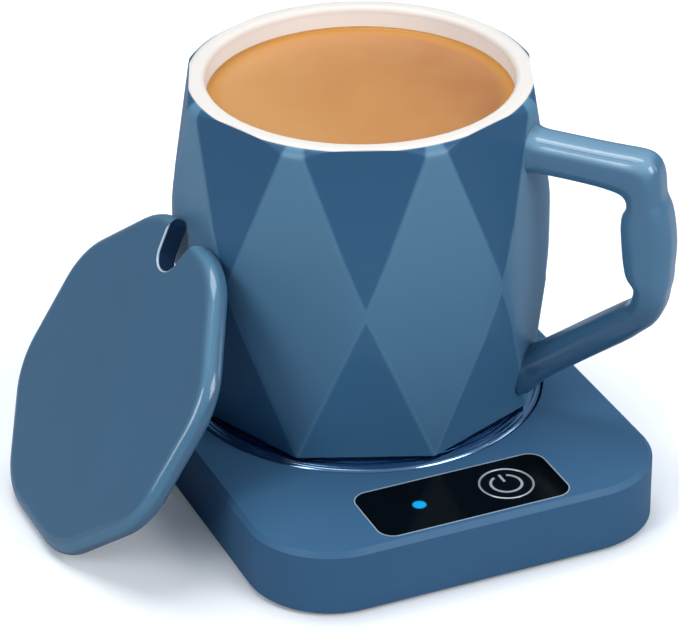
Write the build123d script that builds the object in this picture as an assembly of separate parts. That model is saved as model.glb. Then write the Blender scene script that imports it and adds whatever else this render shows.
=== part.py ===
from build123d import *
import os
from math import cos, radians, sin, tan

# An electric mug warmer with its faceted mug and the mug's lid. Millimetres, +Z up.
# The control panel is at -Y and the cord leaves at +Y. Pieces are made about the middle
# of the warmer's footprint, and then moved so that the origin is the middle of the
# whole set's footprint on the surface it stands on.

# ---- driving dimensions -------------------------------------------------------------

# Warmer housing, sized round its plate and panel
plate_to_side = 7.4
plate_to_back = 7.7
panel_to_plate = 4.6
panel_from_front = 13.5
corner_radius = 22.0
foot_proud = 0.8
housing_height = 17.5
wall = 2.0
skin = 2.0
top_chamfer = 1.3
bottom_round = 0.4

# Heating plate and what lies under it
plate_radius = 47.6
plate_gap = 0.4
plate_proud = 0.5
plate_thickness = 2.0
plate_bevel = 0.5
plate_lip = 0.8
plate_lip_width = 3.4
gasket_thickness = 1.0
gasket_width = 2.8
pocket_wall = 2.0
ledge_thickness = 1.5
ledge_width = 4.0
element_inset = 7.6
element_thickness = 1.0
pad_overhang = 0.5
pad_thickness = 3.0
clamp_overhang = 0.5
clamp_thickness = 0.8
clamp_arm_width = 9.0
clamp_hole_radius = 7.0
clamp_screw_margin = 4.0
clamp_screw_angle = 30.0

# Terminal window through the pad and the clamp, with what it holds
window_inset = 10.0
window_width = 34.0
window_length = 7.0
window_shift = 5.0
tab_offset = 12.5
tab_size = 4.0
tab_thickness = 0.8
fuse_radius = 1.3
fuse_length = 9.0
fuse_lead_inset = 2.0
thermistor_radius = 1.2
thermistor_offset = 4.0
thermistor_gap = 0.2

# Control panel
panel_width = 53.0
panel_depth = 22.0
panel_corner = 4.6
panel_shift = -0.5
panel_thickness = 1.2
panel_ledge = 2.5
bezel_width = 0.35
bezel_proud = 0.06

# Power button
button_from_panel_centre = 12.3
button_ring_radius = 7.2
button_ring_width = 0.6
button_ring_proud = 0.15
button_gap = 0.15
button_flange = 0.9
button_flange_thickness = 0.9
button_flange_gap = 0.3
button_travel = 0.4
stem_radius = 2.2
plunger_radius = 1.6
plunger_gap = 0.15
plunger_proud = 1.5
symbol_radius = 4.3
symbol_stroke = 0.7
symbol_proud = 0.04
symbol_depth = 0.3
symbol_gap_angle = 50.0
symbol_bar_start = 1.0
symbol_bar_over = 0.15

# Status light
light_from_panel_centre = 11.8
light_radius = 1.85
light_flange_radius = 3.0
light_flange_thickness = 0.9
light_to_led = 0.3

# Circuit board and its parts
board_margin = 2.8
board_depth = 19.0
board_thickness = 1.6
board_under_panel = 8.1
board_screw_inset = 4.0
board_part_gap = 0.8
switch_size = 6.0
switch_height = 3.5
switch_well = 1.3
led_size = 3.0
led_height = 1.7
chip_width = 5.0
chip_depth = 4.0
chip_height = 1.5
chip_shift = 2.0
capacitor_width = 11.0
capacitor_depth = 5.0
capacitor_height = 6.5
triac_width = 6.5
triac_depth = 6.0
triac_height = 2.3
terminal_width = 9.0
terminal_depth = 7.0
terminal_height = 6.0
terminal_hole_radius = 1.2
terminal_hole_depth = 2.5

# Bottom cover, feet and screws
cover_thickness = 2.0
cover_gap = 0.2
cover_pad_height = 2.0
cover_pad_radius = 4.4
boss_radius = 3.2
boss_inset = 11.0
foot_radius = 5.0
foot_recess = 0.8
foot_inset_x = 20.0
foot_inset_y = 17.0
cover_head_radius = 2.4
cover_head_height = 1.4
cover_head_recess = 1.8
cover_head_gap = 0.2
cover_shank_radius = 1.25
cover_shank_length = 7.4
clamp_head_radius = 1.9
clamp_head_height = 1.3
clamp_shank_radius = 0.9
clamp_shank_length = 3.2
slot_depth = 0.7
slot_width = 0.6
slot_margin = 0.7
screw_gap = 0.05
hole_gap = 0.1

# Cord gland and inner leads
cord_radius = 2.6
gland_wall = 1.3
gland_flange = 1.1
gland_flange_thickness = 1.2
gland_inner_flange = 1.4
gland_over_cover = 0.5
lead_radius = 0.8
lead_under_clamp = 1.3
lead_spacing = 4.0
lead_shift = -1.5
lead_from_board_edge = 2.0
lead_first_bend = 1.8
lead_last_bend = 1.2

# Mug
mug_sides = 8
mug_flat = 46.0
mug_height = 88.9
tip_over_rim = 4.7
middle_below_rim = 43.5
rim_width = 3.2
lip_flat = 0.9
lip_clearance = 0.25
foot_ring_inset = 4.5
foot_ring_width = 5.0
foot_ring_height = 1.0
mouth_taper = 1.0
mug_floor = 5.2
inner_round = 10.0

# Mug handle
handle_turn = 45.0
handle_width = 11.0
handle_thickness = 8.8
handle_round = 3.6
handle_root_cover = 2.1
handle_below_rim = 13.6
handle_top_drop = 1.4
handle_reach = 30.6
handle_lean = 1.3
handle_drop = 39.0
handle_low_root = 7.9
handle_top_bend = 5.6
handle_low_bend = 7.5
grip_inset = 0.3
grip_bulge = 2.6
grip_below_arm = 6.3
grip_above_arm = 5.2
grip_round = 3.4

# Lid, as it stands on the table and leans on the mug
lid_overhang = 4.1
lid_thickness = 5.5
lid_corner = 20.0
lid_front_round = 2.4
lid_back_round = 1.8
lid_ring_gap = 0.8
lid_ring_width = 3.5
lid_ring_height = 2.0
notch_radius = 5.3
notch_depth = 11.9
notch_shift = 3.2
notch_flare = 16.0
notch_lip = 2.8
lid_lean = 32.6
lid_turn = 0.6
lid_side = -5.6
lid_gap = 0.3

# ---- levels and places worked out from them -----------------------------------------

base_width = 2 * (plate_radius + plate_to_side)
plate_to_front = panel_from_front + panel_depth / 2 + panel_to_plate
base_depth = plate_to_front + 2 * plate_radius + plate_to_back
housing_bottom = foot_proud
housing_top = housing_bottom + housing_height
skin_bottom = housing_top - skin

plate_y = base_depth / 2 - plate_to_back - plate_radius
plate_top = housing_top + plate_proud
plate_underside = plate_top - plate_thickness
plate_bottom = plate_underside - plate_lip
pocket_radius = plate_radius + plate_gap
pocket_outside = pocket_radius + pocket_wall
ledge_top = plate_bottom - gasket_thickness
ledge_bottom = ledge_top - ledge_thickness

element_radius = plate_radius - element_inset
element_bottom = plate_underside - element_thickness
pad_radius = element_radius + pad_overhang
pad_bottom = element_bottom - pad_thickness
clamp_radius = pad_radius + clamp_overhang
clamp_bottom = pad_bottom - clamp_thickness
clamp_screw_reach = pocket_outside + clamp_screw_margin
clamp_angles = (clamp_screw_angle, 180 - clamp_screw_angle)
clamp_screw_places = [
    (
        side * clamp_screw_reach * cos(radians(angle)),
        plate_y + side * clamp_screw_reach * sin(radians(angle)),
    )
    for angle in clamp_angles
    for side in (-1, 1)
]

window_y = plate_y - element_radius + window_inset
tab_places = [window_shift - tab_offset, window_shift + tab_offset]
fuse_x = tab_places[1] - tab_size / 2 - hole_gap - fuse_length / 2
fuse_z = element_bottom - fuse_radius - hole_gap
bead_y = plate_y - thermistor_offset
bead_bottom = element_bottom - 2 * thermistor_radius

panel_y = -base_depth / 2 + panel_from_front
panel_bottom = housing_top - panel_thickness
button_x = panel_shift + button_from_panel_centre
light_x = panel_shift - light_from_panel_centre
button_radius = button_ring_radius - button_ring_width - button_gap
button_flange_radius = button_ring_radius + button_flange
button_bottom = panel_bottom - hole_gap

board_top = panel_bottom - board_under_panel
board_bottom = board_top - board_thickness
board_width = base_width - 2 * (boss_inset + boss_radius + board_margin)
board_front = panel_y - board_depth / 2
board_back = panel_y + board_depth / 2
board_screw_places = [
    (panel_shift + side * (board_width / 2 - board_screw_inset), board_back - board_screw_inset)
    for side in (-1, 1)
]
switch_top = board_top + switch_height
plunger_top = switch_top + plunger_proud
beside_switch = button_x + switch_size / 2 + board_part_gap
beside_light = light_x - led_size / 2 - board_part_gap
terminal_x = beside_switch + terminal_width / 2
terminal_y = board_front + board_part_gap + terminal_depth / 2

cover_top = housing_bottom + cover_thickness
boss_bottom = cover_top + cover_pad_height
boss_places = [
    (x * (base_width / 2 - boss_inset), y * (base_depth / 2 - boss_inset))
    for x in (-1, 1)
    for y in (-1, 1)
]
foot_places = [
    (x * (base_width / 2 - foot_inset_x), y * (base_depth / 2 - foot_inset_y))
    for x in (-1, 1)
    for y in (-1, 1)
]

gland_body_radius = cord_radius + gland_wall
gland_flange_radius = gland_body_radius + gland_flange
gland_height = cover_top + gland_over_cover + gland_flange_radius
lead_level = clamp_bottom - lead_under_clamp

mug_foot = plate_top
mug_body_bottom = mug_foot + foot_ring_height
mug_rim = mug_foot + mug_height
mug_corner = mug_flat / cos(radians(180 / mug_sides))
mug_waist = mug_flat * cos(radians(180 / mug_sides))
mouth_radius = mug_waist - rim_width
lip_start = mouth_radius + lip_flat
lip_round = mug_flat + lip_clearance - lip_start
foot_ring_radius = mug_waist - foot_ring_inset
handle_root = mouth_radius + handle_root_cover
handle_out = mug_flat + handle_reach
handle_top = mug_rim - handle_below_rim
handle_low = handle_top - handle_drop
lid_flat = mouth_radius + lid_overhang


# ---- shapes used more than once -----------------------------------------------------

def disc(radius, low, high, x=0.0, y=0.0):
    """Upright cylinder between two heights."""
    return Pos(x, y, low) * Cylinder(
        radius, high - low, align=(Align.CENTER, Align.CENTER, Align.MIN)
    )


def ring(outer, inner, low, high, x=0.0, y=0.0):
    """Upright tube between two heights."""
    return disc(outer, low, high, x, y) - disc(inner, low, high, x, y)


def slab(width, depth, radius, low, high, x=0.0, y=0.0):
    """Upright block with rounded corners between two heights."""
    outline = RectangleRounded(width, depth, radius)
    return Pos(x, y, low) * extrude(outline, high - low)


def block(width, depth, low, high, x=0.0, y=0.0):
    """Upright square-cornered block between two heights."""
    return Pos(x, y, low) * Box(
        width, depth, high - low, align=(Align.CENTER, Align.CENTER, Align.MIN)
    )


def upward_screw(head_radius, head_height, shank_radius, shank_length, seat, x, y):
    """Cross-recessed screw driven upwards, with its head's bearing face at seat."""
    head = disc(head_radius, seat - head_height, seat, x, y)
    head += disc(shank_radius, seat, seat + shank_length, x, y)
    slot_length = 2 * (head_radius - slot_margin)
    low = seat - head_height
    head -= block(slot_length, slot_width, low, low + slot_depth, x, y)
    head -= block(slot_width, slot_length, low, low + slot_depth, x, y)
    return head


def tube_along(points, radii, radius):
    """Round tube along straight runs joined by tangent arcs."""
    path = FilletPolyline(*points, radius=radii)
    section = Plane(origin=path @ 0, z_dir=path % 0) * Circle(radius)
    return sweep(section, path=path)


# ---- housing, cover and fasteners ---------------------------------------------------

def make_top_housing():
    """Moulded upper shell with the plate pocket, panel recess and screw bosses."""
    shell = slab(base_width, base_depth, corner_radius, housing_bottom, housing_top)
    shell = chamfer(shell.faces().sort_by(Axis.Z)[-1].edges(), top_chamfer)
    shell = chamfer(shell.faces().sort_by(Axis.Z)[0].edges(), bottom_round)
    shell -= slab(
        base_width - 2 * wall,
        base_depth - 2 * wall,
        corner_radius - wall,
        housing_bottom,
        skin_bottom,
    )
    shell += disc(pocket_outside, ledge_bottom, skin_bottom, 0, plate_y)
    for x, y in boss_places:
        shell += disc(boss_radius, boss_bottom, skin_bottom, x, y)
    for x, y in clamp_screw_places:
        shell += disc(boss_radius, pad_bottom, skin_bottom, x, y)
    for x, y in board_screw_places:
        shell += disc(boss_radius, board_top, skin_bottom, x, y)
    shell -= disc(pocket_radius, ledge_top, housing_top, 0, plate_y)
    shell -= disc(pocket_radius - ledge_width, ledge_bottom, ledge_top, 0, plate_y)
    cover_bore = cover_shank_radius + screw_gap
    for x, y in boss_places:
        shell -= disc(cover_bore, boss_bottom, boss_bottom + cover_shank_length, x, y)
    clamp_bore = clamp_shank_radius + screw_gap
    for x, y in clamp_screw_places:
        shell -= disc(clamp_bore, pad_bottom, pad_bottom + clamp_shank_length, x, y)
    for x, y in board_screw_places:
        shell -= disc(clamp_bore, board_top, board_top + clamp_shank_length, x, y)
    shell -= slab(
        panel_width, panel_depth, panel_corner, panel_bottom, housing_top, panel_shift, panel_y
    )
    shell -= slab(
        panel_width - 2 * panel_ledge,
        panel_depth - 2 * panel_ledge,
        panel_corner - panel_ledge,
        skin_bottom,
        panel_bottom,
        panel_shift,
        panel_y,
    )
    shell -= disc(
        button_flange_radius + button_flange_gap, skin_bottom, panel_bottom, button_x, panel_y
    )
    shell -= gland_cylinder(gland_body_radius, base_depth / 2 - wall, base_depth / 2)
    return shell


def make_bottom_cover():
    """Flat cover inside the skirt, with screw pads and recesses for the feet."""
    inset = 2 * (wall + cover_gap)
    cover = slab(
        base_width - inset,
        base_depth - inset,
        corner_radius - wall - cover_gap,
        housing_bottom,
        cover_top,
    )
    for x, y in boss_places:
        cover += disc(cover_pad_radius, cover_top, boss_bottom, x, y)
        head_hole = cover_head_radius + cover_head_gap
        cover -= disc(head_hole, housing_bottom, housing_bottom + cover_head_recess, x, y)
        cover -= disc(cover_shank_radius + hole_gap, housing_bottom, boss_bottom, x, y)
    for x, y in foot_places:
        cover -= disc(
            foot_radius + screw_gap, housing_bottom, housing_bottom + foot_recess, x, y
        )
    return cover


def make_rubber_feet():
    """Four feet, each pressed into its recess and rounded where it stands."""
    feet = []
    for x, y in foot_places:
        foot = disc(foot_radius, 0.0, housing_bottom + foot_recess, x, y)
        feet.append(chamfer(foot.faces().sort_by(Axis.Z)[0].edges(), foot_proud / 3))
    return Compound(feet)


def make_cover_screws():
    """Four screws through the cover into the housing's corner bosses."""
    seat = housing_bottom + cover_head_recess
    length = boss_bottom + cover_shank_length - seat - hole_gap
    return Compound(
        [
            upward_screw(
                cover_head_radius, cover_head_height, cover_shank_radius, length, seat, x, y
            )
            for x, y in boss_places
        ]
    )


def make_clamp_screws():
    """Four screws that hold the clamp under the plate pocket."""
    length = clamp_thickness + clamp_shank_length - hole_gap
    return Compound(
        [
            upward_screw(
                clamp_head_radius,
                clamp_head_height,
                clamp_shank_radius,
                length,
                clamp_bottom,
                x,
                y,
            )
            for x, y in clamp_screw_places
        ]
    )


def make_board_screws():
    """Two screws that hold the circuit board on its posts."""
    length = board_thickness + clamp_shank_length - hole_gap
    return Compound(
        [
            upward_screw(
                clamp_head_radius,
                clamp_head_height,
                clamp_shank_radius,
                length,
                board_bottom,
                x,
                y,
            )
            for x, y in board_screw_places
        ]
    )


def gland_cylinder(radius, front, back):
    """Cylinder on the gland's axis, between two distances along +Y."""
    tool = Cylinder(radius, back - front, align=(Align.CENTER, Align.CENTER, Align.MIN))
    return Pos(0, front, gland_height) * Rot(-90, 0, 0) * tool


def make_cord_gland():
    """Rubber grommet in the back wall, with the bore that grips the cord."""
    outside = base_depth / 2
    inside = outside - wall
    gland = gland_cylinder(
        gland_flange_radius, outside, outside + gland_flange_thickness
    )
    gland = chamfer(gland.faces().sort_by(Axis.Y)[-1].edges(), gland_flange_thickness / 3)
    gland += gland_cylinder(gland_body_radius - screw_gap, inside, outside)
    gland += gland_cylinder(gland_flange_radius, inside - gland_inner_flange, inside)
    gland -= gland_cylinder(
        cord_radius, inside - gland_inner_flange, outside + gland_flange_thickness
    )
    return gland


# ---- heating stack ------------------------------------------------------------------

def make_heating_plate():
    """Spun metal plate with a bevelled edge and a lip that sits on the gasket."""
    plate = disc(plate_radius, plate_bottom, plate_top, 0, plate_y)
    plate = chamfer(plate.faces().sort_by(Axis.Z)[-1].edges(), plate_bevel)
    plate -= disc(plate_radius - plate_lip_width, plate_bottom, plate_underside, 0, plate_y)
    return plate


def make_plate_gasket():
    """Silicone ring between the plate's lip and the housing's ledge."""
    return ring(plate_radius, plate_radius - gasket_width, ledge_top, plate_bottom, 0, plate_y)


def make_heater_element():
    """Flat mica heater disc against the plate's underside."""
    return disc(element_radius, element_bottom, plate_underside, 0, plate_y)


def window_cutter(low, high):
    """Terminal window, one cutter for the pad and the clamp."""
    return block(window_width, window_length, low, high, window_shift, window_y)


def make_insulation_pad():
    """Fibre pad that presses the heater against the plate."""
    pad = disc(pad_radius, pad_bottom, element_bottom, 0, plate_y)
    pad -= window_cutter(pad_bottom, element_bottom)
    return pad - disc(thermistor_radius + thermistor_gap, pad_bottom, element_bottom, 0, bead_y)


def make_heater_clamp():
    """Sheet steel clamp with four arms that reach the housing's bosses."""
    clamp = disc(clamp_radius, clamp_bottom, pad_bottom, 0, plate_y)
    for angle in clamp_angles:
        arm = Box(
            2 * clamp_screw_reach,
            clamp_arm_width,
            clamp_thickness,
            align=(Align.CENTER, Align.CENTER, Align.MIN),
        )
        clamp += Pos(0, plate_y, clamp_bottom) * Rot(0, 0, angle) * arm
    for x, y in clamp_screw_places:
        clamp += disc(clamp_arm_width / 2, clamp_bottom, pad_bottom, x, y)
        clamp -= disc(clamp_shank_radius + hole_gap, clamp_bottom, pad_bottom, x, y)
    clamp -= disc(clamp_hole_radius, clamp_bottom, pad_bottom, 0, plate_y)
    clamp -= window_cutter(clamp_bottom, pad_bottom)
    return clamp


def make_heater_terminals():
    """Two brass tabs on the heater's underside."""
    low = element_bottom - tab_thickness
    return Compound([block(tab_size, tab_size, low, element_bottom, x, window_y) for x in tab_places])


def make_thermal_fuse():
    """One-shot fuse lying in the terminal window against the second tab."""
    return Pos(fuse_x, window_y, fuse_z) * Rot(0, 90, 0) * Cylinder(fuse_radius, fuse_length)


def make_thermistor():
    """Bead that feels the plate's heat through the heater."""
    return disc(thermistor_radius, bead_bottom, element_bottom - hole_gap, 0, bead_y)


def lead(x_start, y_start, z_start, place):
    """Sleeved lead from a part in the heating stack, under the clamp, to the board."""
    x_end = panel_shift + lead_shift + place * lead_spacing
    y_end = board_back - lead_from_board_edge
    route = [
        (x_start, y_start, z_start),
        (x_start, y_start, lead_level),
        (x_end, y_end, lead_level),
        (x_end, y_end, board_top),
    ]
    return tube_along(route, [lead_first_bend, lead_last_bend], lead_radius)


def make_heater_leads():
    """Two leads, from the board to the first tab and to the fuse."""
    fuse_lead_x = fuse_x - fuse_length / 2 + fuse_lead_inset
    first = lead(tab_places[0], window_y, element_bottom - tab_thickness, -1)
    second = lead(fuse_lead_x, window_y, fuse_z - fuse_radius, 1)
    return Compound([first, second])


def make_sensor_lead():
    """Lead from the board to the thermistor."""
    return lead(0, bead_y, bead_bottom, 0)


# ---- circuit board ------------------------------------------------------------------

def make_control_board():
    """Circuit board hung from two posts beside the panel."""
    board = block(board_width, board_depth, board_bottom, board_top, panel_shift, panel_y)
    for x, y in board_screw_places:
        board -= disc(clamp_shank_radius + hole_gap, board_bottom, board_top, x, y)
    return board


def on_board(width, depth, height, x, y):
    """Block-shaped component standing on the board."""
    return block(width, depth, board_top, board_top + height, x, y)


def make_tact_switch():
    """Push switch body with the well that its plunger moves in."""
    body = on_board(switch_size, switch_size, switch_height, button_x, panel_y)
    well_radius = plunger_radius + plunger_gap
    return body - disc(well_radius, switch_top - switch_well, switch_top, button_x, panel_y)


def make_status_led():
    """Surface-mounted light under the light pipe."""
    return on_board(led_size, led_size, led_height, light_x, panel_y)


def make_control_chip():
    """Controller between the light and the switch."""
    return on_board(chip_width, chip_depth, chip_height, panel_shift, panel_y + chip_shift)


def make_filter_capacitor():
    """Film capacitor across the mains, beside the light."""
    x = beside_light - capacitor_width / 2
    y = board_front + board_part_gap + capacitor_depth / 2
    return on_board(capacitor_width, capacitor_depth, capacitor_height, x, y)


def make_power_triac():
    """Triac that switches the heater, behind the cord's terminal block."""
    x = beside_switch + triac_width / 2
    y = board_back - board_part_gap - triac_depth / 2
    return on_board(triac_width, triac_depth, triac_height, x, y)


def make_cord_terminal():
    """Two-way terminal block for the cord's cores."""
    body = on_board(terminal_width, terminal_depth, terminal_height, terminal_x, terminal_y)
    top = board_top + terminal_height
    for side in (-1, 1):
        x = terminal_x + side * terminal_width / 4
        body -= disc(terminal_hole_radius, top - terminal_hole_depth, top, x, terminal_y)
    return body


# ---- control panel and button -------------------------------------------------------

def make_panel_bezel():
    """Thin bright frame round the panel glass."""
    top = housing_top + bezel_proud
    outer = slab(
        panel_width - 2 * screw_gap,
        panel_depth - 2 * screw_gap,
        panel_corner - screw_gap,
        panel_bottom,
        top,
        panel_shift,
        panel_y,
    )
    inner = slab(
        panel_width - 2 * bezel_width,
        panel_depth - 2 * bezel_width,
        panel_corner - bezel_width,
        panel_bottom,
        top,
        panel_shift,
        panel_y,
    )
    return outer - inner


def make_panel_glass():
    """Glossy black panel with holes for the button's ring and the light."""
    inset = bezel_width + screw_gap
    panel = slab(
        panel_width - 2 * inset,
        panel_depth - 2 * inset,
        panel_corner - inset,
        panel_bottom,
        housing_top,
        panel_shift,
        panel_y,
    )
    panel -= disc(button_ring_radius, panel_bottom, housing_top, button_x, panel_y)
    panel -= disc(light_radius + screw_gap, panel_bottom, housing_top, light_x, panel_y)
    return panel


def make_button_ring():
    """Bright ring that lines the button's hole."""
    top = housing_top + button_ring_proud
    outer = button_ring_radius - screw_gap
    return ring(
        outer, button_ring_radius - button_ring_width, panel_bottom, top, button_x, panel_y
    )


def make_power_button():
    """Cap, its retaining flange under the panel and the stem that meets the switch."""
    flange_low = button_bottom - button_flange_thickness
    button = disc(button_radius, button_bottom, housing_top, button_x, panel_y)
    button += disc(button_flange_radius, flange_low, button_bottom, button_x, panel_y)
    button += disc(stem_radius, plunger_top, flange_low, button_x, panel_y)
    return button - power_mark(housing_top - symbol_depth, housing_top)


def power_mark(low, high):
    """Open circle and bar, the usual sign for power."""
    inner = symbol_radius - symbol_stroke
    mark = ring(symbol_radius, inner, low, high, button_x, panel_y)
    gap_half = symbol_radius * tan(radians(symbol_gap_angle / 2))
    wedge = Polyline((0, 0), (-gap_half, symbol_radius), (gap_half, symbol_radius), close=True)
    mark -= Pos(button_x, panel_y, low) * extrude(make_face(wedge), high - low)
    bar_end = symbol_radius + symbol_bar_over
    middle = panel_y + (symbol_bar_start + bar_end) / 2
    return mark + block(symbol_stroke, bar_end - symbol_bar_start, low, high, button_x, middle)


def make_power_symbol():
    """Metal inlay in the cap's top."""
    mark = power_mark(housing_top - symbol_depth, housing_top + symbol_proud)
    return Compound(list(mark.solids()))


def make_switch_plunger():
    """Plunger that the button's stem pushes into the switch."""
    low = switch_top - switch_well + button_travel + plunger_gap
    return disc(plunger_radius, low, plunger_top, button_x, panel_y)


def make_light_pipe():
    """Clear pipe that carries the light up to the panel."""
    pipe_bottom = board_top + led_height + light_to_led
    pipe = disc(light_radius, pipe_bottom, housing_top, light_x, panel_y)
    flange_low = panel_bottom - light_flange_thickness
    return pipe + disc(light_flange_radius, flange_low, panel_bottom, light_x, panel_y)


# ---- mug ----------------------------------------------------------------------------

def mug_point(radius, eighths, height):
    """Point at a number of eighth turns from -Y towards +X, about the mug's axis."""
    angle = radians(eighths * 360 / mug_sides)
    return Vector(radius * sin(angle), plate_y - radius * cos(angle), height)


def faceted_body():
    """Closed body of upright diamonds between upper and lower triangles."""
    top = mug_rim + tip_over_rim
    middle = mug_rim - middle_below_rim
    faces = []
    for side in range(mug_sides):
        top_tip = mug_point(mug_flat, side, top)
        bottom_tip = mug_point(mug_flat, side, mug_body_bottom)
        before = mug_point(mug_corner, side - 0.5, middle)
        after = mug_point(mug_corner, side + 0.5, middle)
        next_top = mug_point(mug_flat, side + 1, top)
        next_bottom = mug_point(mug_flat, side + 1, mug_body_bottom)
        for outline in (
            (top_tip, before, bottom_tip, after),
            (top_tip, after, next_top),
            (bottom_tip, next_bottom, after),
        ):
            faces.append(Face(Wire.make_polygon(outline, close=True)))
    for height in (top, mug_body_bottom):
        corners = [mug_point(mug_flat, side, height) for side in range(mug_sides)]
        faces.append(Face(Wire.make_polygon(corners, close=True)))
    return Solid(Shell(faces))


def mug_cavity():
    """Inside of the mug, tapered towards a rounded floor."""
    floor = mug_body_bottom + mug_floor
    floor_edge = (mouth_radius - mouth_taper, floor)
    profile = make_face(
        Polyline((0, floor), floor_edge, (mouth_radius, mug_rim), (0, mug_rim), close=True)
    )
    corner = profile.vertices().sort_by_distance(floor_edge)[0]
    return Pos(0, plate_y, 0) * revolve(Plane.XZ * fillet(corner, inner_round), Axis.Z)


def lip_cutter():
    """What is turned away outside the rim, which rounds the lip off into the facets."""
    low = mug_rim - lip_round
    curve = CenterArc((lip_start, low), lip_round, 0, 90)
    outside = mug_corner + lip_clearance
    rest = Polyline(curve @ 1, (outside, mug_rim), (outside, low), curve @ 0)
    return Pos(0, plate_y, 0) * revolve(Plane.XZ * make_face(curve + rest), Axis.Z)


def handle_plane():
    """Upright plane through the mug's axis and the handle."""
    turn = radians(handle_turn)
    outward = Vector(sin(turn), -cos(turn), 0)
    across = outward.cross(Vector(0, 0, 1))
    return Plane(origin=(0, plate_y, 0), x_dir=outward, z_dir=across)


def handle_loop():
    """Swept bar of the handle: level top arm, upright grip and sloping low arm."""
    path = handle_plane() * FilletPolyline(
        (handle_root, handle_top),
        (handle_out, handle_top - handle_top_drop),
        (handle_out + handle_lean, handle_low),
        (handle_root, mug_foot + handle_low_root),
        radius=[handle_top_bend, handle_low_bend],
    )
    section = Plane(origin=path @ 0, x_dir=handle_plane().z_dir, z_dir=path % 0)
    bar = section * RectangleRounded(handle_width, handle_thickness, handle_round)
    return sweep(bar, path=path)


def handle_grip():
    """Swelling of the grip, wider towards and away from the mug."""
    high = handle_top - grip_below_arm
    low = handle_low + grip_above_arm
    half = handle_thickness / 2 - grip_inset
    low_x = handle_out + handle_lean
    middle = (handle_out + handle_lean / 2, (high + low) / 2)
    bulge = (half + grip_bulge, 0)
    inner_top = (handle_out - half, high)
    inner_low = (low_x - half, low)
    outer_top = (handle_out + half, high)
    outer_low = (low_x + half, low)
    outline = (
        ThreePointArc(inner_top, Vector(middle) - Vector(bulge), inner_low)
        + Line(inner_low, outer_low)
        + ThreePointArc(outer_low, Vector(middle) + Vector(bulge), outer_top)
        + Line(outer_top, inner_top)
    )
    grip = extrude(handle_plane() * make_face(outline), handle_width / 2, both=True)
    return fillet(grip.edges().filter_by(GeomType.CIRCLE), grip_round)


def make_mug():
    """Faceted mug with its foot ring, its handle and a round inside."""
    body = split(faceted_body(), Plane.XY.offset(mug_rim), keep=Keep.BOTTOM) - lip_cutter()
    body += disc(foot_ring_radius, mug_foot, mug_body_bottom, 0, plate_y)
    body -= disc(foot_ring_radius - foot_ring_width, mug_foot, mug_body_bottom, 0, plate_y)
    body += handle_loop()
    body += handle_grip()
    return body - mug_cavity()


# ---- lid ----------------------------------------------------------------------------

def lid_plane():
    """Plane of the lid's outer face, seated on the table and against the mug."""
    lean = radians(lid_lean)
    turn = radians(lid_turn)
    toward_mug = Vector(cos(turn), sin(turn), 0)
    sideways = Vector(-sin(turn), cos(turn), 0)
    normal = Vector(0, 0, sin(lean)) - toward_mug * cos(lean)
    mug_axis = Vector(0, plate_y, 0)
    widest = (mug_point(mug_corner, mug_sides * 0.75 + 0.5, 0) - mug_axis).dot(toward_mug)
    across = lid_thickness - lid_back_round
    along = lid_flat - lid_back_round
    reach = across * cos(lean) + along * sin(lean) + lid_back_round
    height = across * sin(lean) + along * cos(lean) + lid_back_round
    centre = mug_axis + toward_mug * (widest - reach - lid_gap) + sideways * lid_side
    return Plane(origin=centre + Vector(0, 0, height), x_dir=sideways * -1, z_dir=normal)


def lid_notch():
    """Spoon notch that widens to rounded lips, open at the lid's upper edge."""
    floor_y = lid_flat - notch_depth + notch_radius
    flare = radians(notch_flare)
    throat = Vector(notch_radius * cos(flare), floor_y - notch_radius * sin(flare))
    mouth = Vector(throat.X + (lid_flat - throat.Y) * tan(flare), lid_flat)
    corners = [(-throat.X, throat.Y), (throat.X, throat.Y), (mouth.X, mouth.Y)]
    corners += [(-mouth.X, mouth.Y)]
    slot = Pos(0, floor_y) * Circle(notch_radius) + make_face(Polyline(corners, close=True))
    slot += Pos(0, lid_flat + notch_lip) * Rectangle(2 * mouth.X + 4 * notch_lip, 2 * notch_lip)
    for side in (-1, 1):
        lip = slot.vertices().sort_by_distance((side * mouth.X, mouth.Y))[0]
        slot = fillet(lip, notch_lip)
    return extrude(Pos(-notch_shift, 0) * slot, -lid_thickness - lid_ring_height)


def make_lid():
    """Octagonal lid with a rounded rim, a locating ring below and a spoon notch."""
    corner = lid_flat / cos(radians(180 / mug_sides))
    outline = RegularPolygon(corner, mug_sides, rotation=180 / mug_sides)
    outline = fillet(outline.vertices(), lid_corner)
    lid = extrude(outline, -lid_thickness)
    lid = fillet(lid.faces().sort_by(Axis.Z)[-1].edges(), lid_front_round)
    lid = fillet(lid.faces().sort_by(Axis.Z)[0].edges(), lid_back_round)
    ring_radius = mouth_radius - lid_ring_gap
    lid += ring(
        ring_radius,
        ring_radius - lid_ring_width,
        -lid_thickness - lid_ring_height,
        -lid_thickness,
    )
    return lid_plane() * (lid - lid_notch())


# ---- every node and its maker -------------------------------------------------------

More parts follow.
